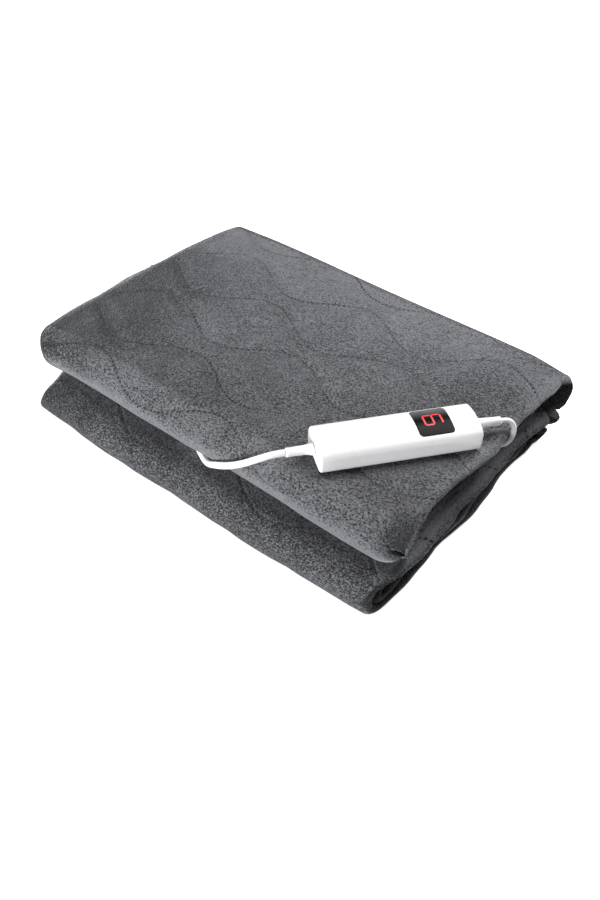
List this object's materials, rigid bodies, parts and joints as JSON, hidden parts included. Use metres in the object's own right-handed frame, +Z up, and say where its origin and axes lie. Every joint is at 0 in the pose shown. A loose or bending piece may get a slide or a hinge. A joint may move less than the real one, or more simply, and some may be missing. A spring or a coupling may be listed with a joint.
{
  "type": "electric heated blanket",
  "caption": "Grey fleece heated throw, quilted in wavy lines and folded into a stack, with a white hand controller on top and its mains lead coiled behind.",
  "frame": {"origin": "the middle of the folded stack's footprint, on the surface it rests on", "axes": "+X along the folds, from the open mouth towards the end with the controller's short lead; +Y to the back of the stack, away from its round folded front; +Z up"},
  "size_m": [0.5555, 0.4132, 0.1218],
  "materials": {
    "cloth": "short brushed pile",
    "shell": "smooth, glossy",
    "window": "polished, dark",
    "jacket": "smooth, satin",
    "tie": "woven hook-and-loop",
    "pin": "bright plated"
  },
  "bodies": {
    "root": {"throw": "cloth", "controller_body": "shell", "display_window": "window", "lead_relief": "shell", "mains_relief": "shell", "blanket_lead": "jacket", "mains_lead": "jacket", "mains_coil": "jacket", "mains_tail": "jacket", "coil_tie": "tie", "plug_body": "shell", "plug_relief": "shell", "plug_pin_a": "pin", "plug_pin_b": "pin"}
  },
  "joints": []
}
